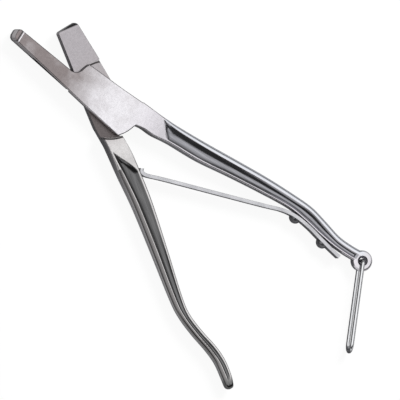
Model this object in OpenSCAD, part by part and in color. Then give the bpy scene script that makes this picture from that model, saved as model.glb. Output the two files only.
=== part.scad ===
// Livestock ear notcher: a punch lever and a die lever crossing at a lap joint, sprung open by a
// leaf riveted to the die lever's handle, with a wire bail that keeps the handles closed.
// The tool lies flat. The origin is on the pivot's axis in the plane of the underside, +X runs
// along the die lever towards its handle, and +Z is the pivot's axis.

/* [Lap joint] */
// Thickness of the joint, both levers together
joint_t = 14; // [12:0.5:18]
// Gap between the two lapped plates
lap_gap = 0.2; // [0.1:0.05:0.4]
// Radius of the lap on the jaw side
jaw_lap_r = 27; // [25:0.5:30]
// Radius of the lap on the handle side
heel_lap_r = 24.6; // [23.5:0.2:25.6]
// How far a plate's rounded end stays inside the shoulder that it turns in
shoulder_gap = 0.25; // [0.2:0.05:0.5]
// Radius of the pivot rivet
pivot_r = 4; // [3:0.25:5]
// Radius of the rivet's countersunk heads
pivot_head_r = 5.2; // [4.5:0.1:6.5]
// Depth of the countersunk heads
pivot_head_h = 1.4; // [0.8:0.1:2]
// Running clearance round the rivet
pivot_fit = 0.05; // [0.02:0.01:0.1]
// Angle of the punch lever below the die lever when the spring holds the tool open
open_deg = 35; // [33:0.5:38]

/* [Jaws] */
// Reach of the die jaw from the pivot to its tip
die_reach = 76; // [70:1:90]
// Thickness that the die jaw is ground down to behind its lip
die_t = 13; // [11.5:0.25:13.5]
// Length of the raised lip at the die jaw's tip
lip_l = 1.6; // [1:0.1:3]
// Reach of the punch from the pivot to its nose
punch_reach = 55; // [50:0.5:60]
// Depth of the punch, from its cutting edge to its back, at the nose
punch_depth = 14.6; // [12:0.2:16]
// Thickness of the punch
punch_t = 7.2; // [6:0.2:8]
// Gap between the punch and each cheek of the die
punch_gap = 0.15; // [0.1:0.05:0.3]
// Radius of the corner at the punch's cutting edge, seen from the front
punch_corner_r = 3; // [2:0.25:4]
// Radius of the hollow where the die jaw runs into the lap
jaw_fillet_r = 6; // [4:0.5:7]

/* [Handles] */
// Thickness of a handle at its root
root_t = 13.9; // [12:0.1:13.9]
// Thickness of a handle from the spring rivets to its end
grip_t = 7.3; // [6.5:0.1:7.4]
// Depth of the flute along each flat of a handle
flute_d = 1.3; // [0.6:0.1:1.6]
// Distance from the pivot at which the flutes open at the handles' outer edges
flute_start = 37; // [36:0.5:42]
// Length in which a flute spreads across the handle
flute_spread = 17; // [12:1:24]
// Radius of the eye at the end of the die lever
eye_r = 6.8; // [6:0.2:8]
// Distance from the pivot to the eye along the die lever
eye_x = 199.5; // [199:0.5:201]
// Height of the eye's centre above the die lever's axis
eye_y = 4; // [3:0.25:5]

/* [Leaf spring] */
// Thickness of the leaf
leaf_t = 2.4; // [1.8:0.1:2.6]
// Width of the leaf
leaf_w = 8; // [6:0.5:10]
// Gap between the leaf and its seat on the handle
leaf_fit = 0.05; // [0.02:0.01:0.1]
// Radius of a spring rivet's shank
rivet_r = 1.8; // [1.5:0.1:2.4]
// Radius of a spring rivet's round head
rivet_head_r = 4; // [3:0.1:4.5]
// Height of a spring rivet's round head
rivet_head_h = 3.2; // [2:0.1:3.6]

/* [Keeper bail] */
// Radius of the bail's wire
wire_r = 1.5; // [1:0.1:1.6]
// Length of the bail from its pivot to the outside of its loop
bail_l = 60.5; // [58:0.5:64]
// Radius of the bends that turn the wire's ends into the eye
bail_bend_r = 2.2; // [2:0.1:2.6]
// Clearance of the wire in the eye's hole
bail_fit = 0.5; // [0.3:0.1:0.8]
// Angle at which the bail hangs, from the die lever's axis
bail_deg = -65.4; // [-80:1:-50]

/* [Hidden] */
$fn = 64;

mid_z = joint_t/2;
over = 1;
// Length of a cutter that passes right through a jaw
cut_l = 60;
ring_steps = 3;
leaf_steps = 6;

// Rows down a handle: distance along it, lower edge, upper edge, thickness, corner radius
die_rows = [
    [20, -4.8, 10.9, root_t, 0.7], [29, -3.1, 10.5, root_t, 0.8], [38, -3.3, 10.3, root_t - 0.5, 1.3],
    [50, -2, 10.6, root_t - 1.7, 2.2], [72, -1.1, 11.9, 10.9, 2.6], [95, 1.9, 13.7, 9.6, 2.7],
    [118, 4.5, 15.2, 8.4, 2.6], [139, 6.2, 15.6, grip_t, 2.4], [153, 5, 15.1, grip_t, 2.4],
    [166, 2.7, 12.2, grip_t, 2.4], [178, 1.2, 9.2, grip_t, 2.4], [188, 0.9, 8.7, grip_t, 2.4],
    [eye_x - 3.5, eye_y - 2.7, eye_y + 5.2, grip_t, 2.4]];
punch_rows = [
    [20, -13.4, -1.9, root_t, 0.7], [28, -12.5, -0.4, root_t, 0.8], [38, -12.2, 0.9, root_t - 0.5, 1.3],
    [50, -12, 1.5, root_t - 1.7, 2.2], [72, -10.8, 1.7, 10.9, 2.6], [102, -10.6, -0.1, 9.2, 2.7],
    [136, -10.6, -2.6, grip_t + 0.1, 2.5], [149, -9.3, -2.3, grip_t, 2.4], [162, -5.8, 1.3, grip_t, 2.4],
    [175, -1.2, 6.1, grip_t, 2.4], [185, 1.3, 8.3, grip_t, 2.4], [195, 1.8, 8.5, grip_t, 2.4],
    [201.5, 1.9, 7.6, grip_t - 0.3, 2.3], [203.6, 2.9, 6.7, grip_t - 2.3, 1.5],
    [204.2, 4.2, 5.4, 2, 0.5]];
// Corner radius on a handle's inner side, as a share of the radius on its outer side
inner_share = 0.45;
// How far a flute's rims stay inside a handle's edges, as a share of the corner radius
rim_share = 1.2;
// How far a handle's sides stand proud along the forging's parting line
side_crown = 0.1;
// Width at which a flute reaches its full depth
full_flute = 5;
flute_end = 190;
flute_fade = 20;
corner_n = 4;
flat_n = 7;
ring_n = 4*corner_n + 2*flat_n + 2;

// The leaf's centre line, from the curled tip on the punch lever to the end behind the rivets
leaf_rows = [[42.7, -25.1], [43.8, -27], [46.2, -27.6], [50, -26.6], [57, -24], [70, -19.6],
             [95, -11.3], [124, -1.6], [137, 2.9], [147, 4.2], [158, 3.1], [166, 1.4], [176, -0.7],
             [185, -2.3]];
seat_row = 8;
inner_rivet_row = 9;
outer_rivet_row = 11.5;
// Length of each spring rivet's shank, from the leaf's centre line to the handle's far side
inner_rivet_l = 9.6;
outer_rivet_l = 8.4;

leg_z = mid_z - wire_r;
bail_inner_l = bail_l - wire_r - leg_z;
eye_hole_r = wire_r + bail_fit;
slot_t = punch_t + 2*punch_gap;
slot_reach = punch_reach + 2.2;
// Centre of the hollow where the die jaw runs into the lap
jaw_fillet_at = [-31.75, 2.3 + jaw_fillet_r];

function blend_rows(p0, p1, p2, p3, t) =
    0.5*(2*p1 + (p2 - p0)*t + (2*p0 - 5*p1 + 4*p2 - p3)*t*t + (3*p1 - p0 - 3*p2 + p3)*t*t*t);
function row_at(rows, s) = let (n = len(rows) - 1, i = min(floor(s), n - 1))
    blend_rows(rows[max(i - 1, 0)], rows[i], rows[i + 1], rows[min(i + 2, n)], s - i);
function smooth(rows, steps) =
    [for (s = [0:1/steps:len(rows) - 1 + 0.001]) row_at(rows, min(s, len(rows) - 1))];
function ease(x, a, b) = let (t = min(1, max(0, (x - a)/(b - a)))) t*t*(3 - 2*t);
function flute_depth(x, width) = flute_d*min(1, width/full_flute)
                                 *(1 - ease(x, flute_end - flute_fade, flute_end));

function corner_arc(y, z, r, from) = [for (k = [0:corner_n - 1])
    let (a = from + 90*k/(corner_n - 1)) [y + r*cos(a), z + r*sin(a)]];

// One ring of a handle: a rounded oblong with a hollow in each flat. The hollow opens at the outer edge,
// which is the high side when outer is 1, and spreads across the flat to the inner edge.
function ring(row, outer) = let (
    high_r = outer > 0 ? row[4] : inner_share*row[4],
    low_r = outer > 0 ? inner_share*row[4] : row[4],
    top = row[2] - rim_share*high_r,
    bottom = row[1] + rim_share*low_r,
    width = (top - bottom)*min(1, 1.15*ease(row[0], flute_start, flute_start + flute_spread)),
    middle = outer > 0 ? top - width/2 : bottom + width/2,
    depth = flute_depth(row[0], width),
    flat = [for (k = [0:flat_n - 1]) let (
        y = top + (bottom - top)*k/(flat_n - 1),
        t = width > 0 ? min(1, abs(y - middle)*2/width) : 1)
        [y, row[3]/2 - depth*pow(1 - t*t, 1.15)]])
    [for (p = concat(
        corner_arc(row[2] - high_r, row[3]/2 - high_r, high_r, 0),
        flat,
        corner_arc(row[1] + low_r, row[3]/2 - low_r, low_r, 90),
        [[row[1] - side_crown, 0]],
        corner_arc(row[1] + low_r, low_r - row[3]/2, low_r, 180),
        [for (k = [flat_n - 1:-1:0]) [flat[k][0], -flat[k][1]]],
        corner_arc(row[2] - high_r, high_r - row[3]/2, high_r, 270),
        [[row[2] + side_crown, 0]]))
        [row[0], p[0], mid_z + p[1]]];

module handle(rows, outer) {
    rings = smooth(rows, ring_steps);
    last = len(rings) - 1;
    polyhedron(
        points = [for (r = rings) each ring(r, outer)],
        faces = concat(
            [[for (k = [0:ring_n - 1]) k]],
            [for (i = [0:last - 1], k = [0:ring_n - 1]) let (m = (k + 1) % ring_n)
                each [[i*ring_n + k, (i + 1)*ring_n + k, (i + 1)*ring_n + m],
                      [i*ring_n + k, (i + 1)*ring_n + m, i*ring_n + m]]],
            [[for (k = [ring_n - 1:-1:0]) last*ring_n + k]]));
}

module pivot_bore() {
    rotate_extrude() polygon([
        [0, -over], [pivot_head_r + pivot_fit, -over], [pivot_head_r + pivot_fit, 0],
        [pivot_r + pivot_fit, pivot_head_h], [pivot_r + pivot_fit, joint_t - pivot_head_h],
        [pivot_head_r + pivot_fit, joint_t], [pivot_head_r + pivot_fit, joint_t + over],
        [0, joint_t + over]]);
}

// Front half of the lap: rounded at both ends about the pivot
module die_plate_outline() {
    intersection() {
        circle(r = jaw_lap_r - shoulder_gap, $fn = 128);
        polygon([[-28, 12.3], [4, 10.8], [4, -14.5], [-28, -9.1]]);
    }
    intersection() {
        circle(r = heel_lap_r - 1, $fn = 128);
        polygon([[0, 11], [26, 10.6], [26, -19], [17, -16.7], [0, -13.8]]);
    }
    polygon([[0, 11], [28, 10.4], [28, -3.1], [25, -3.7], [22.6, -6.3], [0, -6]]);
}

// The jaw's upper edge slopes up to the tip and runs into the lap in a hollow
module die_jaw_outline() {
    hollow = [for (a = [-16:-16:-96]) jaw_fillet_at + jaw_fillet_r*[cos(a), sin(a)]];
    polygon(concat([[-20, -10.4], [-20, 5]], hollow, [[1.5 - die_reach, 6.6], [-die_reach, 5.2],
                   [0.3 - die_reach, 0.2], [2.2 - die_reach, -1.2]]));
}

// The jaw's thickness along its length: ground thinner towards the tip, up to a lip left at full thickness
module die_jaw_profile() {
    relief = (joint_t - die_t)/2;
    lip_x = lip_l - die_reach;
    polygon([[-20, 0], [-jaw_lap_r, 0], [lip_x, relief], [lip_x, 0], [-die_reach - over, 0],
             [-die_reach - over, joint_t], [lip_x, joint_t], [lip_x, joint_t - relief], [-jaw_lap_r, joint_t],
             [-20, joint_t]]);
}

// The slot that the punch passes through: closed and round at the tip, open towards the pivot
module die_slot() {
    translate([0, 0, mid_z]) rotate([90, 0, 0]) {
        linear_extrude(cut_l, center = true) {
            translate([slot_t/2 - slot_reach, 0]) circle(d = slot_t);
            translate([slot_t/2 - slot_reach, -slot_t/2]) square([slot_reach, slot_t]);
        }
    }
}

module die_lever() {
    color([0.76, 0.76, 0.78]) difference() {
        union() {
            translate([0, 0, mid_z + lap_gap/2])
                linear_extrude(mid_z - lap_gap/2) die_plate_outline();
            difference() {
                intersection() {
                    linear_extrude(joint_t) die_jaw_outline();
                    rotate([90, 0, 0]) linear_extrude(cut_l, center = true) die_jaw_profile();
                }
                difference() {
                    die_slot();
                    translate([0, 0, mid_z]) cylinder(r = jaw_lap_r - shoulder_gap, h = joint_t, $fn = 128);
                }
                translate([0, 0, -over])
                    cylinder(r = jaw_lap_r + shoulder_gap, h = mid_z + lap_gap/2 + over, $fn = 128);
            }
            difference() {
                handle(die_rows, 1);
                translate([0, 0, -over])
                    cylinder(r = heel_lap_r, h = mid_z + lap_gap/2 + over, $fn = 128);
                leaf_seat();
            }
            translate([eye_x, eye_y, mid_z - grip_t/2]) cylinder(r = eye_r, h = grip_t);
        }
        pivot_bore();
        translate([eye_x, eye_y, -over]) cylinder(r = eye_hole_r, h = joint_t + 2*over);
        rivet_place(inner_rivet_row) rivet_hole();
        rivet_place(outer_rivet_row) rivet_hole();
    }
}

module punch_plate_outline() {
    intersection() {
        circle(r = jaw_lap_r, $fn = 128);
        polygon([[-32, 3.9], [-10, 7.4], [4, 11], [4, -punch_depth], [-32, -punch_depth]]);
    }
    intersection() {
        circle(r = heel_lap_r - 1, $fn = 128);
        polygon([[0, 10], [8, 12.4], [30, 12.4], [30, -12.4], [14, -14.4], [0, -punch_depth]]);
    }
    polygon([[0, -2], [26, -2], [26, -12.6], [14, -14.4], [0, -punch_depth]]);
}

module punch_outline() {
    hull() {
        translate([punch_corner_r - punch_reach, -punch_corner_r])
            circle(r = punch_corner_r, $fn = 32);
        translate([punch_corner_r - punch_reach, 1 - punch_depth]) circle(r = 1, $fn = 32);
        translate([-22, -punch_depth]) square([1, punch_depth + 5.4]);
    }
}

// The punch's nose is round across its thickness, so that it cuts a round-ended notch
module punch() {
    intersection() {
        translate([0, 0, mid_z - punch_t/2]) linear_extrude(punch_t) punch_outline();
        translate([0, 0, mid_z]) rotate([90, 0, 0]) linear_extrude(cut_l, center = true) {
            translate([punch_t/2 - punch_reach, 0]) circle(d = punch_t);
            translate([punch_t/2 - punch_reach, -punch_t/2]) square([punch_reach, punch_t]);
        }
    }
}

module punch_lever() {
    color([0.72, 0.71, 0.72]) rotate([0, 0, -open_deg]) difference() {
        union() {
            linear_extrude(mid_z - lap_gap/2) punch_plate_outline();
            difference() {
                punch();
                translate([0, 0, mid_z - lap_gap/2]) cylinder(r = jaw_lap_r, h = joint_t, $fn = 128);
            }
            difference() {
                handle(punch_rows, -1);
                translate([0, 0, mid_z - lap_gap/2]) cylinder(r = heel_lap_r, h = joint_t, $fn = 128);
            }
        }
        pivot_bore();
    }
}

module pivot_rivet() {
    color([0.6, 0.6, 0.62]) rotate_extrude() polygon([
        [0, 0], [pivot_head_r, 0], [pivot_r, pivot_head_h], [pivot_r, joint_t - pivot_head_h],
        [pivot_head_r, joint_t], [0, joint_t]]);
}

function leaf_normal(s) = let (d = row_at(leaf_rows, min(s + 0.01, len(leaf_rows) - 1))
                                   - row_at(leaf_rows, max(s - 0.01, 0)))
    [-d[1], d[0]]/norm(d);
leaf_marks = [for (s = [0:1/leaf_steps:len(leaf_rows) - 1 + 0.001]) min(s, len(leaf_rows) - 1)];
function leaf_side(off, marks) = [for (s = marks) row_at(leaf_rows, s) + off*leaf_normal(s)];

// Everything below the leaf's upper face, taken out of the handle so that the leaf lies flat on it
module leaf_seat() {
    seat_marks = [for (s = leaf_marks) if (s >= seat_row - 1) s];
    translate([0, 0, -over]) linear_extrude(joint_t + 2*over) polygon(concat(
        leaf_side(leaf_t/2 + leaf_fit, seat_marks),
        [[leaf_rows[len(leaf_rows) - 1][0] + 0.4, -12], [leaf_rows[seat_row - 1][0], -12]]));
}

// Puts a rivet on the leaf's centre line, its head on the leaf's lower side
module rivet_place(row) {
    at = row_at(leaf_rows, row);
    up = leaf_normal(row);
    translate([at[0], at[1], mid_z]) rotate([0, 0, atan2(up[1], up[0])]) rotate([0, 90, 0])
        children();
}

module rivet_hole() {
    translate([0, 0, -leaf_t/2 - over]) cylinder(r = rivet_r + leaf_fit, h = 20);
}

// Everything above the leaf's lower face, taken off a rivet's head so that it sits flat on the leaf
module leaf_and_above(row) {
    near = [for (s = leaf_marks) if (abs(s - row) < 2) s];
    translate([0, 0, -over]) linear_extrude(joint_t + 2*over) polygon(concat(
        leaf_side(-leaf_t/2 - leaf_fit, near),
        [row_at(leaf_rows, near[len(near) - 1]) + [0, 20], row_at(leaf_rows, near[0]) + [0, 20]]));
}

// A round-headed rivet through the leaf and the handle, filed flush on the handle's far side
module spring_rivet(row, length) {
    dome_r = (rivet_head_r*rivet_head_r + rivet_head_h*rivet_head_h)/(2*rivet_head_h);
    head_z = -leaf_t/2 - leaf_fit;
    color([0.42, 0.42, 0.44]) {
        rivet_place(row) translate([0, 0, head_z - over]) cylinder(r = rivet_r, h = length - head_z + over);
        difference() {
            rivet_place(row) translate([0, 0, head_z - rivet_head_h + dome_r]) sphere(r = dome_r);
            leaf_and_above(row);
        }
    }
}

module leaf_spring() {
    color([0.8, 0.8, 0.82]) difference() {
        translate([0, 0, mid_z - leaf_w/2]) linear_extrude(leaf_w) polygon(concat(
            leaf_side(leaf_t/2, leaf_marks),
            [for (i = [len(leaf_marks) - 1:-1:0]) leaf_side(-leaf_t/2, leaf_marks)[i]]));
        rivet_place(inner_rivet_row) rivet_hole();
        rivet_place(outer_rivet_row) rivet_hole();
    }
}

// One half of the bail, from the middle of its loop to the end inside the eye
module bail_half() {
    leg = leg_z;
    translate([bail_inner_l, 0, 0]) rotate([90, 0, 0])
        rotate_extrude(angle = 90) translate([leg, 0]) circle(r = wire_r, $fn = 32);
    translate([bail_bend_r, 0, leg]) rotate([0, 90, 0])
        cylinder(r = wire_r, h = bail_inner_l - bail_bend_r, $fn = 32);
    translate([bail_bend_r, 0, leg - bail_bend_r]) rotate([90, 0, 0]) rotate([0, 0, 90])
        rotate_extrude(angle = 90) translate([bail_bend_r, 0]) circle(r = wire_r, $fn = 32);
    translate([0, 0, 0.6]) cylinder(r = wire_r, h = leg - bail_bend_r - 0.6, $fn = 32);
}

module keeper_bail() {
    color([0.85, 0.86, 0.88]) translate([eye_x, eye_y, mid_z]) rotate([0, 0, bail_deg]) {
        bail_half();
        mirror([0, 0, 1]) bail_half();
    }
}

die_lever();
punch_lever();
pivot_rivet();
leaf_spring();
spring_rivet(inner_rivet_row, inner_rivet_l);  // spring_rivet_inner
spring_rivet(outer_rivet_row, outer_rivet_l);  // spring_rivet_outer
keeper_bail();
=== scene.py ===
from math import asin, atan2, cos, pi, radians, sin

import bmesh
import bpy
from mathutils import Matrix, Vector


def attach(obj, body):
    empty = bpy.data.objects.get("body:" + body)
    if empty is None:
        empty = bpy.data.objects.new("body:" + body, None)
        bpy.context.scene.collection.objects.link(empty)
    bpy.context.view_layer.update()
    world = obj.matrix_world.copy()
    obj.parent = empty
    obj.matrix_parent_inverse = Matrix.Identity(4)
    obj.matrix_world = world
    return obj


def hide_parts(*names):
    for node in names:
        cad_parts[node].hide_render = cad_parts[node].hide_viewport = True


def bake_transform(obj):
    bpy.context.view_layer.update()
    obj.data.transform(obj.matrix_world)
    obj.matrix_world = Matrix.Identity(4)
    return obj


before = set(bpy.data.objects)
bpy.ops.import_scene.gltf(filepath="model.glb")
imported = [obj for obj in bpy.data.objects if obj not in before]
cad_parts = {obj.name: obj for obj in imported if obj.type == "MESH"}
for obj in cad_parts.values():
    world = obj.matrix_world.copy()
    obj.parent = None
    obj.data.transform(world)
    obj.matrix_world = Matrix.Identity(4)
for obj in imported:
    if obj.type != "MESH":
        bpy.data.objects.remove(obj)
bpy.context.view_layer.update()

# The view
# The notcher lies flat and is seen from straight in front of its flats, leaning 15 degrees to the left,
# with its die handle falling to the lower right. A long lens leaves no perspective to speak of.
MM = 0.001
FALL = radians(32.6)
LEAN = radians(15)
across = Vector((cos(FALL), sin(FALL), 0))
upward = Vector((-sin(FALL), cos(FALL), 0))
outward = Vector((0, 0, 1))
view_right = cos(LEAN)*across + sin(LEAN)*outward
view_back = cos(LEAN)*outward - sin(LEAN)*across
picture_width = 258.8*MM
picture_middle = (60.28*across - 64.7*upward + 14*outward)*MM
camera_reach = 0.9

lens = bpy.data.cameras.new("camera")
lens.type = "ORTHO"
lens.ortho_scale = picture_width
camera = bpy.data.objects.new("camera", lens)
camera.matrix_world = Matrix.Translation(picture_middle + camera_reach*view_back) @ Matrix(
    (view_right, upward, view_back)).transposed().to_4x4()
bpy.context.scene.collection.objects.link(camera)
bpy.context.scene.camera = camera
bpy.context.scene.view_settings.view_transform = "Standard"

# The floor and the light
# A white table top that is white to the eye, glows dark grey where the steel mirrors it as a painted dark reflection,
# and still takes the tool's shadow.
# The light is a broad overhead softbox in a room that is pale behind the tool and dark in front of it.
def nodes_of(tree_owner):
    tree_owner.use_nodes = True
    tree_owner.node_tree.nodes.clear()
    return tree_owner.node_tree


def add(tree, kind, inputs=(), **settings):
    node = tree.nodes.new(kind)
    for name, value in settings.items():
        setattr(node, name, value)
    for socket, value in dict(inputs).items():
        if isinstance(value, bpy.types.NodeSocket):
            tree.links.new(value, node.inputs[socket])
        else:
            node.inputs[socket].default_value = value
    return node


def steps(tree, value, stops, interpolation="EASE"):
    ramp = add(tree, "ShaderNodeValToRGB", {0: value})
    ramp.color_ramp.interpolation = interpolation
    marks = ramp.color_ramp.elements
    while len(marks) < len(stops):
        marks.new(0.5)
    for mark, (place, colour) in zip(marks, stops):
        mark.position = place
        mark.color = (*colour, 1) if isinstance(colour, tuple) else (colour, colour, colour, 1)
    return ramp.outputs[0]


floor_material = bpy.data.materials.new("white_table")
tree = nodes_of(floor_material)
seen = add(tree, "ShaderNodeLightPath")
in_steel = seen.outputs["Is Glossy Ray"]
mirrored = add(tree, "ShaderNodeMath", {0: in_steel, 1: 0.75}, operation="MULTIPLY")
share = add(tree, "ShaderNodeMath", {0: seen.outputs["Is Camera Ray"], 1: 0.92, 2: mirrored.outputs[0]},
            operation="MULTIPLY_ADD")
matt = add(tree, "ShaderNodeBsdfDiffuse", {"Color": (0.93, 0.93, 0.93, 1)})
# To glossy rays the table glows dark grey: a painted dark reflection in the steel.
table_shade_in_steel = add(tree, "ShaderNodeMix", {0: in_steel, 6: (1, 1, 1, 1), 7: (0.16, 0.16, 0.17, 1)}, data_type="RGBA")
glow = add(tree, "ShaderNodeEmission", {"Color": table_shade_in_steel.outputs[2], "Strength": 1})
table_mix = add(tree, "ShaderNodeMixShader", {0: share.outputs[0], 1: matt.outputs[0], 2: glow.outputs[0]})
add(tree, "ShaderNodeOutputMaterial", {"Surface": table_mix.outputs[0]})

table_size = 3
sheet = bmesh.new()
bmesh.ops.create_grid(sheet, x_segments=1, y_segments=1, size=table_size)
bmesh.ops.translate(sheet, vec=(0.08, 0, 0), verts=sheet.verts)
table_mesh = bpy.data.meshes.new("floor")
sheet.to_mesh(table_mesh)
table_mesh.materials.append(floor_material)
floor = bpy.data.objects.new("floor", table_mesh)
bpy.context.scene.collection.objects.link(floor)

world = bpy.data.worlds.new("studio")
bpy.context.scene.world = world
tree = nodes_of(world)
towards = add(tree, "ShaderNodeTexCoord").outputs["Generated"]
bright_side = (0.92*upward - 0.39*across).normalized()
height = add(tree, "ShaderNodeVectorMath", {0: towards, 1: (0, 0, 1)}, operation="DOT_PRODUCT").outputs["Value"]
beside = add(tree, "ShaderNodeVectorMath", {0: towards, 1: tuple(bright_side)},
             operation="DOT_PRODUCT").outputs["Value"]
pale = steps(tree, height, [(0.0, 0.3), (0.12, 0.12), (0.4, 0.14), (0.55, 0.6), (0.8, 0.9), (0.93, 1.0), (1.0, 1.0)])
dark = steps(tree, height, [(0.0, 0.5), (0.2, 0.7), (0.36, 0.65), (0.44, 0.05), (0.9, 0.05), (0.963, 0.85), (1.0, 1.0)])
half = add(tree, "ShaderNodeMapRange", {"Value": beside, "From Min": -0.3, "From Max": -0.13}).outputs[0]
room = add(tree, "ShaderNodeMix", {6: dark, 7: pale, 0: half}, data_type="RGBA")
sky = add(tree, "ShaderNodeBackground", {"Color": room.outputs[2], "Strength": 1})
add(tree, "ShaderNodeOutputWorld", {"Surface": sky.outputs[0]})


def softbox(name, toward, reach, size, power, in_steel):
    lamp = bpy.data.lights.new(name, "AREA")
    lamp.shape = "RECTANGLE"
    lamp.size, lamp.size_y = size
    lamp.energy = power
    place = picture_middle + toward.normalized()*reach
    turn = (place - picture_middle).to_track_quat("Z", "Y").to_matrix().to_4x4()
    holder = bpy.data.objects.new(name, lamp)
    holder.matrix_world = Matrix.Translation(place) @ turn
    holder.visible_glossy = in_steel
    bpy.context.scene.collection.objects.link(holder)


softbox("key_softbox", 1.1*outward + 0.8*upward + 0.6*across, 1.2, (0.5, 0.5), 16, False)


# The die lever
# The lever that carries the slotted die: one steel forging, plated, with a ground jaw and plate and a
# fluted handle that ends in the keeper's eye. Its front half laps over the punch lever at the joint.
joint_t = 14
mid_z = joint_t/2
lap_gap = 0.2
lap_front = mid_z + lap_gap/2
lap_back = mid_z - lap_gap/2
jaw_lap_r = 27
heel_lap_r = 24.6
shoulder_gap = 0.25
die_reach = 76
die_t = 13
lip_l = 2.6
jaw_draft = 1.8
pivot_r = 4
pivot_head_r = 5.2
pivot_head_h = 1.4
root_t = 13.98
handle_joint = (26.9, 29.1)
grip_t = 7.3
flute_d = 1.5
die_spoon = (36.5, 50)
flute_end = 202
flute_fade = 8
inner_share = 0.45
rim_share = 1.2
eye = (199.5, 4)
eye_r = 6.8
wire_r = 1.5
eye_hole_r = wire_r + 0.5
slot_t = 7.5
slot_reach = 57.2


def trace(form, start, moves):
    """A closed flat outline: a move is a point to draw to, or a centre, an angle and a count to turn by."""
    first = last = form.verts.new((*start, 0))
    for move in moves:
        if len(move) == 2:
            last = bmesh.ops.extrude_vert_indiv(form, verts=[last])["verts"][0]
            last.co.xy = move
        else:
            centre, degrees, count = move
            turned = bmesh.ops.spin(form, geom=[last], cent=(*centre, 0), axis=(0, 0, 1),
                                    angle=radians(degrees), steps=count)
            last = next(v for v in turned["geom_last"] if isinstance(v, bmesh.types.BMVert))
    form.edges.new((last, first))
    bmesh.ops.contextual_create(form, geom=form.edges[:])


def corners(geometry):
    return [v for v in geometry if isinstance(v, bmesh.types.BMVert)]


def round_rims(form, level, soft, segments=3):
    """Bevels the rim at one height, but not where a plate runs on into its handle."""
    rim = [e for e in form.edges if all(abs(v.co.z - level) < 1e-4 for v in e.verts)
           and not all(handle_joint[0] < v.co.x < handle_joint[1] for v in e.verts)]
    bmesh.ops.bevel(form, geom=rim, offset=soft, offset_type="OFFSET", segments=segments, profile=0.5,
                    affect="EDGES", material=-1, clamp_overlap=True)


def slab(start, moves, low, high, soft_low=0.0, soft_high=0.0):
    """An outline given thickness, with its rims rounded."""
    form = bmesh.new()
    trace(form, start, moves)
    bmesh.ops.translate(form, vec=(0, 0, low), verts=form.verts)
    raised = bmesh.ops.extrude_face_region(form, geom=form.faces[:])["geom"]
    bmesh.ops.translate(form, vec=(0, 0, high - low), verts=corners(raised))
    bmesh.ops.recalc_face_normals(form, faces=form.faces)
    for level, soft in ((low, soft_low), (high, soft_high)):
        if soft:
            round_rims(form, level, soft)
    return form


def rod(radius, low, high, at=(0, 0), count=128, soft=0.0):
    """An upright cylinder, its two rims rounded where soft is given."""
    form = bmesh.new()
    bmesh.ops.create_cone(form, cap_ends=True, segments=count, radius1=radius, radius2=radius, depth=high - low)
    bmesh.ops.translate(form, vec=(*at, (low + high)/2), verts=form.verts)
    if soft:
        round_rims(form, low, soft)
        round_rims(form, high, soft)
    return form


def lathe(profile, count=64):
    """A profile of radius and height turned once round the upright axis."""
    form = bmesh.new()
    last = None
    for radius, height in profile:
        last = (bmesh.ops.extrude_vert_indiv(form, verts=[last])["verts"][0] if last
                else form.verts.new((0, 0, 0)))
        last.co = (radius, 0, height)
    bmesh.ops.spin(form, geom=form.verts[:] + form.edges[:], cent=(0, 0, 0), axis=(0, 0, 1),
                   angle=2*pi, steps=count, use_merge=True)
    bmesh.ops.remove_doubles(form, verts=form.verts, dist=1e-4)
    bmesh.ops.recalc_face_normals(form, faces=form.faces)
    return form


def solid(form, name="shape"):
    mesh = bpy.data.meshes.new(name)
    form.to_mesh(mesh)
    form.free()
    thing = bpy.data.objects.new(name, mesh)
    bpy.context.scene.collection.objects.link(thing)
    return thing


def work(target, operation, form):
    """The form is joined to the target, cut out of it, or kept in common with it."""
    tool = form if isinstance(form, bpy.types.Object) else solid(form)
    change = target.modifiers.new("work", "BOOLEAN")
    change.operation = operation
    change.solver = "MANIFOLD"
    change.object = tool
    bpy.context.view_layer.update()
    made = target.evaluated_get(bpy.context.evaluated_depsgraph_get())
    mesh = bpy.data.meshes.new_from_object(made)
    target.modifiers.clear()
    target.data = mesh
    bpy.data.objects.remove(tool)


def spline(rows, steps_each):
    """The rows, and rows between them on a smooth curve through all of them."""
    last = len(rows) - 1
    for k in range(last*steps_each + 1):
        i = min(k//steps_each, last - 1)
        t = k/steps_each - i
        around = rows[max(i - 1, 0)], rows[i], rows[i + 1], rows[min(i + 2, last)]
        yield [0.5*(2*b + (c - a)*t + (2*a - 5*b + 4*c - d)*t*t + (3*b - a - 3*c + d)*t**3)
               for a, b, c, d in zip(*around)]


def loft(rings):
    """A closed skin over rings of points, drawn out of one circle ring by ring."""
    form = bmesh.new()
    ring = bmesh.ops.create_circle(form, cap_ends=False, segments=len(rings[0]), radius=1)["verts"]
    edges = form.edges[:]
    for n, points in enumerate(rings):
        if n:
            drawn = bmesh.ops.extrude_edge_only(form, edges=edges)["geom"]
            fresh = set(corners(drawn))
            edges = [e for e in drawn if isinstance(e, bmesh.types.BMEdge) and set(e.verts) <= fresh]
            ring = [next(e.other_vert(v) for e in v.link_edges if e.other_vert(v) in fresh) for v in ring]
        for vert, point in zip(ring, points):
            vert.co = point
    bmesh.ops.holes_fill(form, edges=form.edges[:], sides=0)
    bmesh.ops.recalc_face_normals(form, faces=form.faces)
    return form


def ease(x, start, stop):
    t = min(1, max(0, (x - start)/(stop - start)))
    return t*t*(3 - 2*t)


corner_n = 8
flat_n = 30


def corner_arc(y, z, r, begin):
    turns = [begin + pi/2*k/(corner_n - 1) for k in range(corner_n)]
    return [(y + r*cos(a), z + r*sin(a)) for a in turns]


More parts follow.
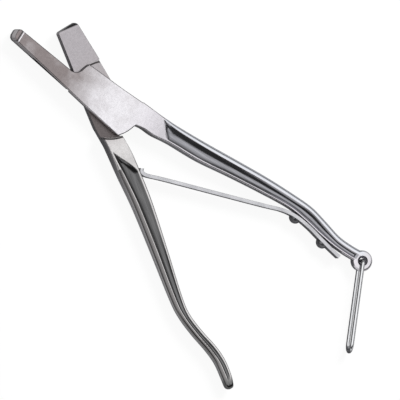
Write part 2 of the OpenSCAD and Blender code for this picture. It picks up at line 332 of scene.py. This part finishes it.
def handle_ring(x, low, high, thick, corner, outer, spoon):
    """A rounded oblong with a hollow in each flat that opens at the outer edge and spreads inwards."""
    high_r, low_r = (corner, inner_share*corner) if outer > 0 else (inner_share*corner, corner)
    top, bottom = high - rim_share*high_r, low + rim_share*low_r
    width = (top - bottom)*min(1, 1.15*ease(x, *spoon))
    middle = top - width/2 if outer > 0 else bottom + width/2
    depth = flute_d*min(1, width/5)*(1 - ease(x, flute_end - flute_fade, flute_end))
    flat = []
    for k in range(flat_n):
        y = top + (bottom - top)*k/(flat_n - 1)
        t = min(1, abs(y - middle)*2/width) if width else 1
        flat.append((y, thick/2 - depth*(1 - t*t)**1.15))
    section = (corner_arc(high - high_r, thick/2 - high_r, high_r, 0) + flat
               + corner_arc(low + low_r, thick/2 - low_r, low_r, pi/2) + [(low, 0)]
               + corner_arc(low + low_r, low_r - thick/2, low_r, pi) + [(y, -z) for y, z in reversed(flat)]
               + corner_arc(high - high_r, high_r - thick/2, high_r, 3*pi/2) + [(high, 0)])
    return [(x, y, mid_z + z) for y, z in section]


# Rows down a handle: distance along it, lower edge, upper edge, thickness, corner radius
die_rows = [
    (20, -4.8, 10.9, root_t, 0.7), (29, -3.1, 10.5, root_t, 0.8), (38, -3.3, 10.3, root_t - 0.5, 1.3),
    (50, -2, 10.6, root_t - 1.7, 2.2), (72, -1.1, 11.9, 10.9, 2.6), (95, 1.9, 13.7, 9.6, 2.7),
    (118, 4.5, 15.2, 8.4, 2.6), (139, 6.2, 15.6, grip_t, 2.4), (153, 5, 15.1, grip_t, 2.4),
    (166, 2.7, 12.2, grip_t, 2.4), (178, 1.2, 9.2, grip_t, 2.4), (188, 0.9, 8.7, grip_t, 2.4),
    (eye[0] - 3.5, eye[1] - 2.7, eye[1] + 5.2, grip_t, 2.4)]
die_lever = solid(loft([handle_ring(*row, 1, die_spoon) for row in spline(die_rows, 16)]), "die_lever_steel")
work(die_lever, "DIFFERENCE", rod(heel_lap_r, -1, lap_front))

jaw_fillet_r = 6
jaw_fillet_at = (-31.75, 2.3 + jaw_fillet_r)
tip_start = (2.6 - die_reach, -1.2)
tip_moves = [(2 - die_reach, 6.6), (0.6 - die_reach, 6.1), (-die_reach, 4.8), (0.1 - die_reach, 1.5),
             (0.9 - die_reach, -0.2)]
head_moves = [
    (-9.6, -12.3), (17.0, -16.4), ((0, 0), 28.4, 10),
    (23.6, -4.6), (25.2, -3.5), (29, -3.0), (29, 10.4), (4, 10.8), (-23.86, 12.1),
    ((0, 0), 13, 6), (jaw_fillet_at, -84, 12)]
head = slab(tip_start, head_moves + tip_moves, lap_front, joint_t)
jaw = slab(tip_start, [(-20, -10.4), (-20, 5), (-25.9, 6.6), (jaw_fillet_at, -82, 12)] + tip_moves, 0, lap_front)


def grind(form):
    """The jaw is ground thinner towards the tip, up to a lip left at full thickness."""
    lip_x = lip_l - die_reach
    for x in (-jaw_lap_r, lip_x - 0.12, lip_x + 0.12):
        bmesh.ops.bisect_plane(form, geom=form.verts[:] + form.edges[:] + form.faces[:], dist=1e-5,
                               plane_co=(x, 0, 0), plane_no=(1, 0, 0))
    for v in form.verts:
        if lip_x < v.co.x < -jaw_lap_r:
            thin = 1 - (1 - die_t/joint_t)*(v.co.x + jaw_lap_r)/(lip_x + jaw_lap_r)
            v.co.z = mid_z + (v.co.z - mid_z)*thin


for form, level in ((head, joint_t), (jaw, 0)):
    round_rims(form, level, 0.7, 5)
    grind(form)
for v in jaw.verts:
    lower_edge = tip_start[1] - 9.2*(v.co.x - tip_start[0])/53.4
    if v.co.y < lower_edge + 1:
        v.co.y += jaw_draft*ease(v.co.x, -70, -jaw_lap_r)*(1 - v.co.z/lap_back)
jaw = solid(jaw)
work(jaw, "DIFFERENCE", rod(jaw_lap_r + shoulder_gap, -1, lap_front))
work(die_lever, "UNION", head)
work(die_lever, "UNION", jaw)



def round_ended(reach, wide):
    """A bar along X with a round end at its reach, as deep as the jaws, on the tool's middle plane."""
    r = wide/2
    form = slab((0, -r), [(0, r), (r - reach, r), ((r - reach, 0), 180, 24)], -30, 30)
    bmesh.ops.rotate(form, cent=(0, 0, 0), matrix=Matrix.Rotation(pi/2, 3, "X"), verts=form.verts)
    bmesh.ops.translate(form, vec=(0, 0, mid_z), verts=form.verts)
    return form


slot = solid(round_ended(slot_reach, slot_t))
work(slot, "DIFFERENCE", rod(jaw_lap_r - shoulder_gap, mid_z, joint_t + 1))
work(die_lever, "DIFFERENCE", slot)
eye_disc = rod(eye_r, mid_z - grip_t/2, mid_z + grip_t/2, at=eye, count=96, soft=1.7)
work(die_lever, "UNION", eye_disc)
eye_low, eye_high = mid_z - grip_t/2, mid_z + grip_t/2
eye_bore = lathe([(0, eye_low - 1), (eye_hole_r + 2.4, eye_low - 1), (eye_hole_r, eye_low + 1.4),
                  (eye_hole_r, eye_high - 1.4), (eye_hole_r + 2.4, eye_high + 1), (0, eye_high + 1)], 48)
bmesh.ops.translate(eye_bore, vec=(*eye, 0), verts=eye_bore.verts)
work(die_lever, "DIFFERENCE", eye_bore)


def pivot_bore(fit):
    r, head_r = pivot_r + fit, pivot_head_r + fit
    return lathe([(0, -1), (head_r, -1), (head_r, 0), (r, pivot_head_h), (r, joint_t - pivot_head_h),
                  (head_r, joint_t), (head_r, joint_t + 1), (0, joint_t + 1)])


work(die_lever, "DIFFERENCE", pivot_bore(0.02))


def finish_steel(thing, material, sharp=28):
    """The finished piece in metres, its flats flat and its rounded rims smooth."""
    thing.data.name = thing.name
    thing.data.transform(Matrix.Scale(MM, 4))
    thing.data.materials.clear()
    thing.data.materials.append(material)
    for face in thing.data.polygons:
        face.use_smooth = True
    thing.data.set_sharp_from_angle(angle=radians(sharp))
    weighted = thing.modifiers.new("flats", "WEIGHTED_NORMAL")
    weighted.keep_sharp = True
    weighted.weight = 80


def flute_of(row, outer, spoon):
    """Where a handle's hollow lies in one row: its middle, its width and its depth."""
    x, low, high, thick, corner = row
    high_r, low_r = (corner, inner_share*corner) if outer > 0 else (inner_share*corner, corner)
    top, bottom = high - rim_share*high_r, low + rim_share*low_r
    width = (top - bottom)*min(1, 1.15*ease(x, *spoon))
    middle = top - width/2 if outer > 0 else bottom + width/2
    return middle, width, min(1, width/5)*(1 - ease(x, flute_end - flute_fade, flute_end))


def mark_flutes(thing, rows, outer, spoon):
    """Keeps on each point how deep in a flute it lies, for the finish."""
    fine = list(spline(rows, 24))
    mark = thing.data.attributes.new("flute", "FLOAT", "POINT")
    for n, v in enumerate(thing.data.vertices):
        x, y, z = v.co
        row = min(fine, key=lambda r: abs(r[0] - x))
        middle, width, depth = flute_of(row, outer, spoon)
        inside = width > 0.5 and abs(x - row[0]) < 1 and abs(z - mid_z) > row[3]/2 - flute_d - 0.3
        t = abs(y - middle)*2/width if inside else 1
        beyond = width > 0.5 and (y - middle)*outer > width/2 + 0.05 and x > spoon[1] - 12
        mark.data[n].value = depth*(1 - t*t) if t < 1 else -1 if beyond else 0


grain = bpy.data.node_groups.new("steel_grain", "ShaderNodeTree")
for name, kind, way in (("Vector", "NodeSocketVector", "INPUT"), ("Lines", "NodeSocketFloat", "OUTPUT"),
                        ("Clouds", "NodeSocketFloat", "OUTPUT"), ("Specks", "NodeSocketFloat", "OUTPUT")):
    grain.interface.new_socket(name=name, in_out=way, socket_type=kind)
given = grain.nodes.new("NodeGroupInput").outputs["Vector"]
drawn = add(grain, "ShaderNodeMapping", {"Vector": given, "Scale": (60, 1400, 1400)}).outputs[0]
lines = add(grain, "ShaderNodeTexNoise", {"Vector": drawn, "Scale": 1.0, "Detail": 4, "Roughness": 0.6})
clouds = add(grain, "ShaderNodeTexNoise", {"Vector": given, "Scale": 85.0, "Detail": 3, "Roughness": 0.55})
specks = add(grain, "ShaderNodeTexNoise", {"Vector": given, "Scale": 900.0, "Detail": 2, "Roughness": 0.6})
out = grain.nodes.new("NodeGroupOutput")
for name, made in (("Lines", lines), ("Clouds", clouds), ("Specks", specks)):
    grain.links.new(made.outputs[0], out.inputs[name])


def mixed(tree, share, first, second):
    """A colour between two others."""
    ends = [c if isinstance(c, bpy.types.NodeSocket) else (*c, 1) for c in (first, second)]
    return add(tree, "ShaderNodeMix", {0: share, 6: ends[0], 7: ends[1]}, data_type="RGBA").outputs[2]


def ranged(tree, value, start, stop, low=0.0, high=1.0):
    return add(tree, "ShaderNodeMapRange", {"Value": value, "From Min": start, "From Max": stop, "To Min": low,
                                            "To Max": high}, interpolation_type="SMOOTHSTEP").outputs[0]


def grained(tree, turn=0.0):
    """Object coordinates turned to run along a lever, and the steel's grain on them."""
    place = add(tree, "ShaderNodeTexCoord").outputs["Object"]
    along = add(tree, "ShaderNodeMapping", {"Vector": place, "Rotation": (0, 0, turn)}).outputs[0]
    marks = tree.nodes.new("ShaderNodeGroup")
    marks.node_tree = grain
    tree.links.new(along, marks.inputs["Vector"])
    return along, marks.outputs


def steel_surface(tree, colour, roughness, height, bump):
    relief = add(tree, "ShaderNodeBump", {"Height": height, "Strength": bump, "Distance": 0.0002})
    shader = add(tree, "ShaderNodeBsdfPrincipled", {"Base Color": colour, "Metallic": 1.0,
                                                    "Roughness": roughness, "Normal": relief.outputs[0]})
    add(tree, "ShaderNodeOutputMaterial", {"Surface": shader.outputs[0]})


def lever_steel(name, turn, jaw_tone, plate_tone_and_highlight, root_tone, flute_tone, painted_side_tones, lap_grime_and_shade_tone, painted_rim_tone,
                end_tone, shoulder_r):
    """Plated forged steel, satin on the jaw and plate and polished on the handle, with light and shade painted into its
    colour: a near-white plate as a painted highlight, darker flutes, sides and rims as painted shade, and painted lines
    at the lip, the lap and the shoulder.
    """
    made = bpy.data.materials.new(name)
    tree = nodes_of(made)
    along, marks = grained(tree, turn)
    parts = add(tree, "ShaderNodeSeparateXYZ", {0: along}).outputs
    # The die's near-white plate tone, clouded by noise, is a painted highlight; its darker jaw tone is partly a
    # brownish patina and partly painted shade.
    jaw_to_plate = ranged(tree, parts["X"], -0.036, 0.002)
    plate_to_root = ranged(tree, parts["X"], 0.012, 0.034)
    clouded = add(tree, "ShaderNodeMath", {0: marks["Clouds"], 1: 0.9, 2: -0.45}, operation="MULTIPLY_ADD")
    jaw_share = add(tree, "ShaderNodeMath", {0: jaw_to_plate, 1: clouded.outputs[0]}, operation="ADD",
                    use_clamp=True)
    flats = mixed(tree, jaw_share.outputs[0], jaw_tone, plate_tone_and_highlight)
    flats = mixed(tree, plate_to_root, flats, root_tone)
    kept = add(tree, "ShaderNodeAttribute", attribute_name="flute").outputs["Fac"]
    # The outer rim beyond each flute is painted light on the die handle and dark on the punch handle: painted light and
    # shade.
    flats = mixed(tree, ranged(tree, kept, -0.1, -0.8), flats, painted_rim_tone)
    # The flutes take a darker tone that stands in for the dark reflection in the hollows: painted shade.
    hollow = ranged(tree, kept, 0.0, 0.3)
    streaks = ranged(tree, marks["Lines"], 0.35, 0.65, 0.82, 1.12)
    flute_shade = add(tree, "ShaderNodeVectorMath", {0: flute_tone, 3: streaks}, operation="SCALE").outputs[0]
    body = mixed(tree, hollow, flats, flute_shade)
    # Faces standing on edge take painted shade and light: dark side tones, a jaw side painted pale towards the front
    # and dark at the back, and other tones along the handle and near the eye.
    facing = add(tree, "ShaderNodeSeparateXYZ", {0: add(tree, "ShaderNodeTexCoord").outputs["Normal"]}).outputs["Z"]
    upright = add(tree, "ShaderNodeMath", {0: facing}, operation="ABSOLUTE").outputs[0]
    side = ranged(tree, upright, 0.6, 0.3)
    along_side = ranged(tree, parts["X"], 0.03, 0.07)
    near_eye = ranged(tree, parts["X"], 0.135, 0.185)
    back_edge = ranged(tree, parts["X"], -0.0273, -0.0267, 0.0045, 0.0095)
    below = add(tree, "ShaderNodeMath", {0: back_edge, 1: parts["Z"]}, operation="SUBTRACT").outputs[0]
    painted_jaw_side = mixed(tree, ranged(tree, below, -0.0008, 0.0008), painted_side_tones[1], painted_side_tones[0])
    sides = mixed(tree, near_eye, mixed(tree, along_side, painted_jaw_side, painted_side_tones[2]), painted_side_tones[3])
    body = mixed(tree, side, body, sides)
    # A painted dark line on the rounded rims of the plate and jaws, on all but their lower side: painted shade at the
    # edges.
    normal = add(tree, "ShaderNodeTexCoord").outputs["Normal"]
    away = add(tree, "ShaderNodeVectorMath", {0: normal, 1: (0.5, 1, 0)}, operation="DOT_PRODUCT").outputs["Value"]
    edge = add(tree, "ShaderNodeMath", {0: ranged(tree, away, -0.34, -0.25), 1: ranged(tree, upright, 0.96, 0.82)},
               operation="MULTIPLY").outputs[0]
    edge = add(tree, "ShaderNodeMath", {0: edge, 1: ranged(tree, parts["X"], 0.0283, 0.0275)},
               operation="MULTIPLY").outputs[0]
    body = mixed(tree, edge, body, (0.1, 0.095, 0.1))
    # The recess at the heel of the lap is darkened: partly grime, partly painted shade where the upper plate overhangs
    # it.
    lap = add(tree, "ShaderNodeMath", {0: ranged(tree, parts["Z"], 0.0055, 0.0065),
                                       1: ranged(tree, parts["Z"], 0.0074, 0.0071)}, operation="MULTIPLY")
    lap = add(tree, "ShaderNodeMath", {0: lap.outputs[0],
                                       1: ranged(tree, parts["X"], -0.006, 0.004)}, operation="MULTIPLY")
    heel_grime_and_shade = add(tree, "ShaderNodeMath", {0: lap.outputs[0], 1: ranged(tree, parts["X"], 0.027, 0.024)},
               operation="MULTIPLY")
    body = mixed(tree, heel_grime_and_shade.outputs[0], body, lap_grime_and_shade_tone)
    # At the die's tip lip: a painted shade line, and a painted highlight line beside it.
    painted_lip_shade = add(tree, "ShaderNodeMath", {0: ranged(tree, parts["X"], -0.0735, -0.0732),
                                          1: ranged(tree, parts["X"], -0.0724, -0.0727)}, operation="MULTIPLY")
    body = mixed(tree, painted_lip_shade.outputs[0], body, painted_side_tones[0])
    painted_lip_highlight = add(tree, "ShaderNodeMath", {0: ranged(tree, parts["X"], -0.0723, -0.0721),
                                         1: ranged(tree, parts["X"], -0.0714, -0.0716)}, operation="MULTIPLY")
    body = mixed(tree, painted_lip_highlight.outputs[0], body, plate_tone_and_highlight)
    # A painted shadow line along the punch's shoulder, at its radius from the pivot.
    level = add(tree, "ShaderNodeVectorMath", {0: along, 1: (1, 1, 0)}, operation="MULTIPLY").outputs[0]
    from_pivot = add(tree, "ShaderNodeVectorMath", {0: level}, operation="LENGTH").outputs["Value"]
    off_line = add(tree, "ShaderNodeMath", {0: from_pivot, 1: shoulder_r}, operation="SUBTRACT").outputs[0]
    off_line = add(tree, "ShaderNodeMath", {0: off_line}, operation="ABSOLUTE").outputs[0]
    line = add(tree, "ShaderNodeMath", {0: ranged(tree, off_line, 0.0007, 0.0004),
                                        1: ranged(tree, parts["Z"], 0.006, 0.007)}, operation="MULTIPLY").outputs[0]
    body = mixed(tree, line, body, (0.06, 0.055, 0.055))
    body = mixed(tree, ranged(tree, parts["X"], 0.195, 0.2), body, end_tone)
    handle = ranged(tree, parts["X"], 0.036, 0.05)
    satin = ranged(tree, marks["Specks"], 0.3, 0.7, 0.2, 0.3)
    polish = ranged(tree, marks["Clouds"], 0.3, 0.7, 0.12, 0.2)
    rough = add(tree, "ShaderNodeMix", {0: handle, 2: satin, 3: polish}, data_type="FLOAT").outputs[0]
    steel_surface(tree, body, rough, marks["Lines"], 0.07)
    return made


def plain_steel(name, light_tone, dark_tone, painted_side_shade, smooth, rough, turn=0.0, bump=0.1):
    made = bpy.data.materials.new(name)
    tree = nodes_of(made)
    along, marks = grained(tree, turn)
    colour = mixed(tree, ranged(tree, marks["Clouds"], 0.35, 0.65), light_tone, dark_tone)
    # Faces standing on edge are painted darker: painted shade.
    facing = add(tree, "ShaderNodeSeparateXYZ", {0: add(tree, "ShaderNodeTexCoord").outputs["Normal"]}).outputs["Z"]
    upright = add(tree, "ShaderNodeMath", {0: facing}, operation="ABSOLUTE").outputs[0]
    colour = mixed(tree, ranged(tree, upright, 0.85, 0.45), colour, painted_side_shade)
    steel_surface(tree, colour, ranged(tree, marks["Specks"], 0.3, 0.7, smooth, rough), marks["Lines"], bump)
    return made


# The punch lever
# The other forging: the punch that passes through the die's slot, the back half of the lap, and a
# fluted handle. It turns on the rivet and is drawn here with its handle along X, then swung open.
open_deg = 35
punch_spoon = (29, 56)
punch_reach = 55
punch_depth = 14.6
punch_t = 7.2
punch_corner_r = 3
punch_rows = [
    (20, -13.4, -1.9, root_t, 0.7), (28, -12.5, -0.4, root_t, 0.8), (38, -12.2, 0.9, root_t - 0.5, 1.3),
    (50, -12, 1.5, root_t - 1.7, 2.2), (72, -10.8, 1.7, 10.9, 2.6), (102, -10.6, -0.1, 9.2, 2.7),
    (136, -10.6, -2.6, grip_t + 0.1, 2.5), (149, -9.3, -2.3, grip_t, 2.4), (162, -5.8, 1.3, grip_t, 2.4),
    (175, -1.2, 6.1, grip_t, 2.4), (185, 1.3, 8.3, grip_t, 2.4), (195, 1.8, 8.5, grip_t, 2.4),
    (201.5, 1.9, 7.6, grip_t - 0.3, 2.3), (203.6, 2.9, 6.7, grip_t - 2.3, 1.5),
    (204.2, 4.2, 5.4, 2, 0.5)]
punch_lever = solid(loft([handle_ring(*row, -1, punch_spoon) for row in spline(punch_rows, 16)]), "punch_lever_steel")
work(punch_lever, "DIFFERENCE", rod(heel_lap_r, lap_back, joint_t + 1))
plate_moves = [
    (0, -punch_depth), (14, -14.4), (27, -12.5), (27, -2.1), (23.5, -2.1), ((0, 0), 36.6, 10),
    (8, 12.4), (-10, 7.4), (-26.6, 4.75), ((0, 0), 42.6, 12)]
work(punch_lever, "UNION", slab((-22.7, -punch_depth), plate_moves, 0, lap_back, soft_low=0.6, soft_high=0.25))
punch_top = (punch_corner_r - punch_reach, -punch_corner_r)
punch_moves = [
    (-21, -punch_depth), (-21, 5.4), (-22, 5.4), (-52.53, -0.05), (punch_top, 70, 6), (-52.99, -13.73),
    ((-52, 1 - punch_depth), 81, 5)]
punch = solid(slab((-52.0, -punch_depth), punch_moves[:4] + punch_moves[4:6], mid_z - punch_t/2,
                   mid_z + punch_t/2, soft_low=0.5, soft_high=0.5))
work(punch, "INTERSECT", round_ended(punch_reach, punch_t + 0.02))
work(punch, "DIFFERENCE", rod(jaw_lap_r, lap_back, joint_t + 1))
work(punch_lever, "UNION", punch)
work(punch_lever, "DIFFERENCE", pivot_bore(0.02))
mark_flutes(punch_lever, punch_rows, -1, punch_spoon)
punch_lever.data.transform(Matrix.Rotation(radians(-open_deg), 4, "Z"))

# The pivot rivet
# A steel rivet through both plates, its two heads countersunk and ground flush with them.
pivot = solid(lathe([(0, 0), (pivot_head_r, 0), (pivot_r, pivot_head_h), (pivot_r, joint_t - pivot_head_h),
                     (pivot_head_r, joint_t), (0, joint_t)]), "pivot_rivet_steel")

# The leaf spring
# A strip of bright spring steel, riveted under the die handle. Its curled tip rides on the punch handle
# and slides along it as the tool closes, so the strip bends between the two levers.
leaf_t = 2.4
leaf_w = 8
leaf_fit = 0.05
leaf_steps = 10
leaf_rows = [
    (42.7, -25.1), (43.8, -27), (46.2, -27.6), (50, -26.6), (57, -24), (70, -19.6), (95, -11.3),
    (124, -1.6), (137, 2.9), (147, 4.2), (158, 3.1), (166, 1.4), (176, -0.7), (185, -2.3)]
leaf_line = [Vector(p) for p in spline(leaf_rows, leaf_steps)]


def leaf_normal(k):
    run = leaf_line[min(k + 1, len(leaf_line) - 1)] - leaf_line[max(k - 1, 0)]
    return Vector((-run.y, run.x)).normalized()


def leaf_ring(k):
    centre, normal, soft = leaf_line[k], leaf_normal(k), 0.3
    ring = []
    for begin, (off, side) in zip((0, pi/2, pi, 3*pi/2), ((1, 1), (-1, 1), (-1, -1), (1, -1))):
        for n in range(4):
            a = begin + pi/2*n/3
            out = off*(leaf_t/2 - soft) + soft*cos(a)
            ring.append((*(centre + normal*out), mid_z + side*(leaf_w/2 - soft) + soft*sin(a)))
    return ring


leaf = solid(loft([leaf_ring(k) for k in range(len(leaf_line))]), "leaf_spring_steel")
seat_from = 7*leaf_steps
upper_face = [tuple(leaf_line[k] + leaf_normal(k)*(leaf_t/2 + leaf_fit)) for k in range(seat_from, len(leaf_line))]
seat = slab(upper_face[0], upper_face[1:] + [(185.4, -12), (leaf_line[seat_from].x, -12)], -1, joint_t + 1)
work(die_lever, "DIFFERENCE", seat)
mark_flutes(die_lever, die_rows, 1, die_spoon)

# The spring rivets
# Two dark round-headed rivets hold the strip to the die handle, their heads under the strip and their
# far ends filed flush with the handle.
rivet_r = 1.8
rivet_head_r = 4
rivet_head_h = 3.2


def at_leaf(place):
    """Stands what is drawn upright on the strip's centre line, pointing into the handle."""
    k = round(place*leaf_steps)
    normal = leaf_normal(k)
    turn = Matrix.Rotation(atan2(normal.y, normal.x), 4, "Z") @ Matrix.Rotation(pi/2, 4, "Y")
    return Matrix.Translation((*leaf_line[k], mid_z)) @ turn


def spring_rivet(name, place, length):
    crown_r = (rivet_head_r**2 + rivet_head_h**2)/(2*rivet_head_h)
    reach = asin(rivet_head_r/crown_r)
    under = -leaf_t/2 - leaf_fit
    crown = [(crown_r*sin(reach*k/10), under - rivet_head_h + crown_r - crown_r*cos(reach*k/10))
             for k in range(11)]
    form = lathe(crown + [(rivet_r, under), (rivet_r, length), (0, length)], count=48)
    made = solid(form, name)
    made.data.transform(at_leaf(place))
    return made


inner_rivet = spring_rivet("spring_rivet_inner_steel", 9, 9.6)
outer_rivet = spring_rivet("spring_rivet_outer_steel", 11.5, 8.4)

# The keeper bail
# A loop of bright wire whose two ends turn into the handle's eye from both sides. It hangs from the eye
# and swings over the punch handle's end to keep the tool closed.
bail_l = 60.5
bail_wire_r = 1.25
bail_bend_r = 2.2
bail_deg = -65.4
leg_z = grip_t/2 + bail_wire_r + 0.3
bail_inner_l = bail_l - bail_wire_r - leg_z


def draw_on(form, ring, vec):
    drawn = bmesh.ops.extrude_edge_only(form, edges=ring)["geom"]
    bmesh.ops.translate(form, vec=vec, verts=corners(drawn))
    fresh = set(corners(drawn))
    return [e for e in drawn if isinstance(e, bmesh.types.BMEdge) and set(e.verts) <= fresh]


def bend_on(form, ring, cent, degrees, count):
    loop = list({v for e in ring for v in e.verts}) + ring
    turned = bmesh.ops.spin(form, geom=loop, cent=cent, axis=(0, 1, 0), angle=radians(degrees), steps=count)
    return [e for e in turned["geom_last"] if isinstance(e, bmesh.types.BMEdge)]


wire = bmesh.new()
bmesh.ops.create_circle(wire, cap_ends=False, segments=28, radius=bail_wire_r)
bmesh.ops.translate(wire, vec=(0, 0, 0.6), verts=wire.verts)
ring = draw_on(wire, wire.edges[:], (0, 0, leg_z - bail_bend_r - 0.6))
ring = bend_on(wire, ring, (bail_bend_r, 0, leg_z - bail_bend_r), 90, 8)
ring = draw_on(wire, ring, (bail_inner_l - bail_bend_r, 0, 0))
ring = bend_on(wire, ring, (bail_inner_l, 0, 0), 90, 14)
bmesh.ops.mirror(wire, geom=wire.verts[:] + wire.edges[:] + wire.faces[:], matrix=Matrix.Identity(4),
                 merge_dist=1e-3, axis="Z")
bmesh.ops.remove_doubles(wire, verts=wire.verts, dist=1e-3)
bmesh.ops.holes_fill(wire, edges=wire.edges[:], sides=0)
bmesh.ops.recalc_face_normals(wire, faces=wire.faces)
bail = solid(wire, "keeper_bail_wire")
bail.data.transform(Matrix.Translation((*eye, mid_z)) @ Matrix.Rotation(radians(bail_deg), 4, "Z"))

punch_turn = radians(open_deg)
die_steel = lever_steel("die_steel", 0.0, (0.31, 0.27, 0.27), (0.97, 0.95, 0.99), (0.88, 0.85, 0.9),
                        (0.38, 0.38, 0.41), ((0.1, 0.095, 0.1), (0.75, 0.7, 0.7), (0.22, 0.225, 0.25),
                        (0.16, 0.16, 0.18)), (0.6, 0.58, 0.58), (0.84, 0.86, 0.92), (0.8, 0.78, 0.82), -1.0)
punch_steel = lever_steel("punch_steel", punch_turn, (0.52, 0.49, 0.515), (0.5, 0.46, 0.46), (0.86, 0.84, 0.84),
                          (0.18, 0.18, 0.183), ((0.13, 0.125, 0.13), (0.3, 0.28, 0.29), (0.75, 0.74, 0.74),
                          (0.6, 0.6, 0.6)), (0.17, 0.15, 0.15), (0.26, 0.25, 0.25), (0.2, 0.2, 0.2), 0.0253)
finish_steel(die_lever, die_steel)
finish_steel(punch_lever, punch_steel)
finish_steel(pivot, die_steel)
finish_steel(leaf, plain_steel("spring_steel", (0.72, 0.72, 0.75), (0.6, 0.6, 0.63), (0.12, 0.12, 0.13), 0.2, 0.3))
for rivet in (inner_rivet, outer_rivet):
    finish_steel(rivet, plain_steel("rivet_steel", (0.2, 0.2, 0.21), (0.28, 0.28, 0.29), (0.16, 0.16, 0.17), 0.25, 0.4))
finish_steel(bail, plain_steel("bail_wire", (0.95, 0.96, 0.98), (0.88, 0.89, 0.91), (0.14, 0.14, 0.15), 0.08, 0.14))
for piece, body, node, finish in (
        (die_lever, "die_lever", "die_lever", "die_steel"),
        (punch_lever, "punch_lever", "punch_lever", "punch_steel"),
        (pivot, "die_lever", "pivot_rivet", "pivot_steel"),
        (inner_rivet, "die_lever", "spring_rivet_inner", "rivet_steel"),
        (outer_rivet, "die_lever", "spring_rivet_outer", "rivet_steel"),
        (bail, "keeper_bail", "keeper_bail", "bail_wire")):
    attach(piece, body)
    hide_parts(node)
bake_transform(leaf)
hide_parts("leaf_spring")
